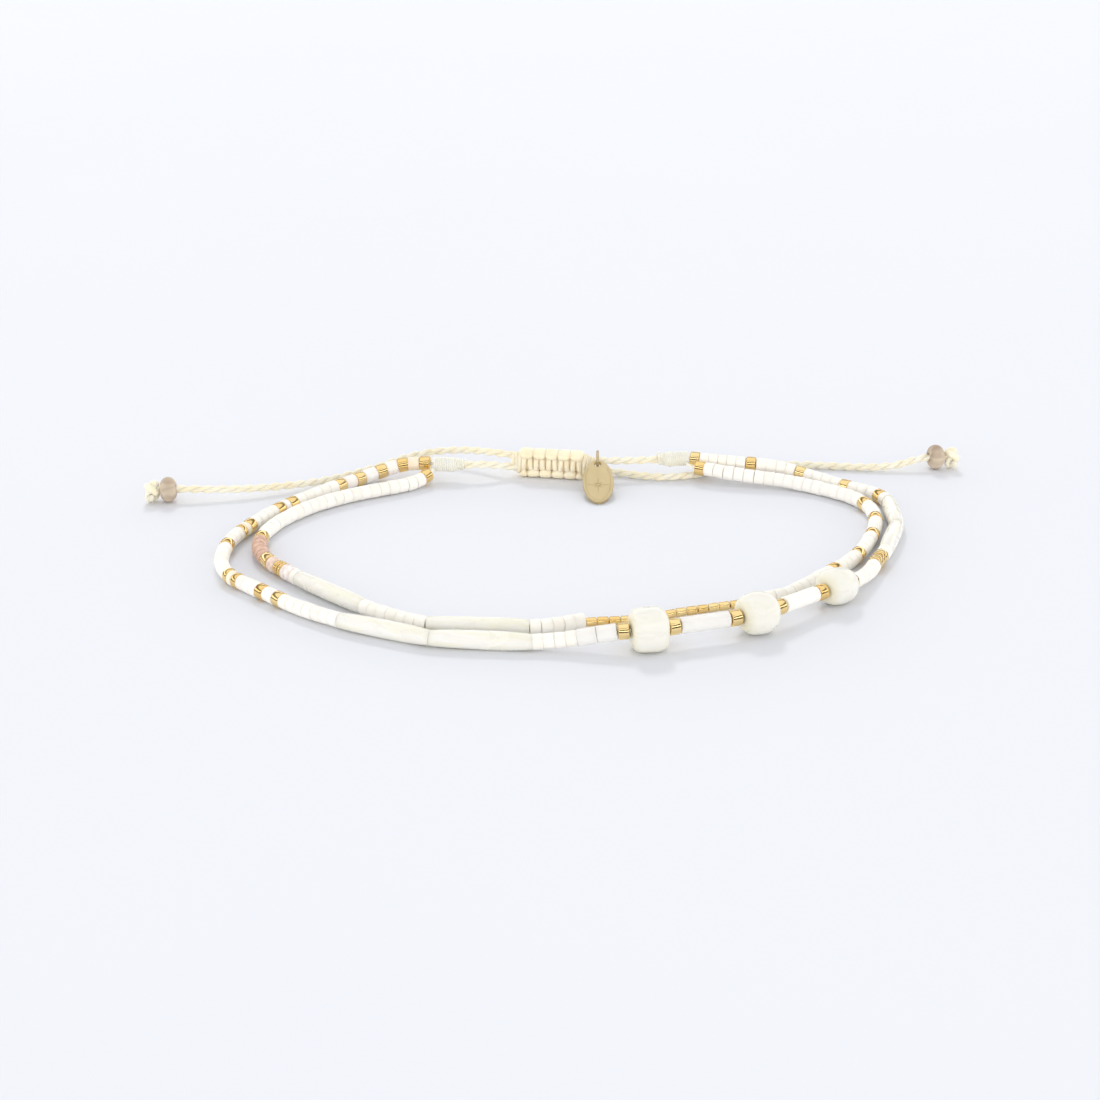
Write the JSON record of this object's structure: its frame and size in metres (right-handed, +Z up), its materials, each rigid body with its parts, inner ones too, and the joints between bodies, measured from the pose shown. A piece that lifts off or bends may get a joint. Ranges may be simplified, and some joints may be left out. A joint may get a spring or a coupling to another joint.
{
  "type": "anklet",
  "caption": "Two-strand beaded anklet with pearl nuggets and gold accent beads, on a knotted sliding cord clasp with a small oval tag, lying flat as a closed loop.",
  "frame": {"origin": "middle of the underside of the loop with its clasp, on the surface that it lies on", "axes": "+X along the loop's long side, from the left whipping to the right one; +Y from the nuggets to the clasp; +Z up from the surface"},
  "size_m": [0.1204, 0.0681, 0.0054],
  "materials": {
    "white_glass": "opaque glossy white seed beads",
    "gold": "polished gold plate",
    "tag_gold": "satin champagne gold plate",
    "shell": "tumbled mother of pearl",
    "clear_glass": "translucent glass",
    "rose_glass": "opaque dusty rose glass",
    "cord": "waxed cream thread",
    "taupe_bead": "smooth taupe bead"
  },
  "bodies": {
    "root": {"outer_string": "white_glass", "inner_string_left": "white_glass", "inner_string_right": "white_glass", "gold_chain": "gold", "gold_bead_1": "gold", "gold_bead_2": "gold", "gold_bead_3": "gold", "gold_bead_4": "gold", "gold_bead_5": "gold", "gold_bead_6": "gold", "gold_bead_7": "gold", "gold_bead_8": "gold", "inner_gold_1": "gold", "inner_gold_2": "gold", "inner_gold_3": "gold", "inner_gold_4": "gold", "inner_gold_5": "gold", "inner_gold_6": "gold", "inner_gold_7": "gold", "accent_run": "gold", "accent_pair_1": "gold", "accent_pair_2": "gold", "accent_pair_3": "gold", "gold_stack": "gold", "rose_run": "rose_glass", "long_shell_1": "shell", "long_shell_2": "shell", "shell_1": "shell", "shell_2": "shell", "side_shells_side_shell_1": "shell", "side_shells_side_shell_2": "shell", "front_clear_1": "clear_glass", "front_clear_2": "clear_glass", "front_gold_3": "gold", "nugget_1": "shell", "front_gold_5": "gold", "front_tube_6": "clear_glass", "front_gold_7": "gold", "nugget_2": "shell", "front_gold_9": "gold", "front_white_tube_10": "white_glass", "front_gold_11": "gold", "nugget_3": "shell", "front_spacer_13": "gold", "whipping_left": "cord", "whipping_right": "cord", "macrame": "cord", "load_cord_a": "cord", "load_cord_b": "cord", "free_cord_a": "cord", "free_cord_b": "cord", "end_bead_a": "taupe_bead", "end_bead_b": "taupe_bead", "end_knot_a": "cord", "end_knot_b": "cord", "jump_ring": "tag_gold", "tag": "tag_gold"}
  },
  "joints": []
}
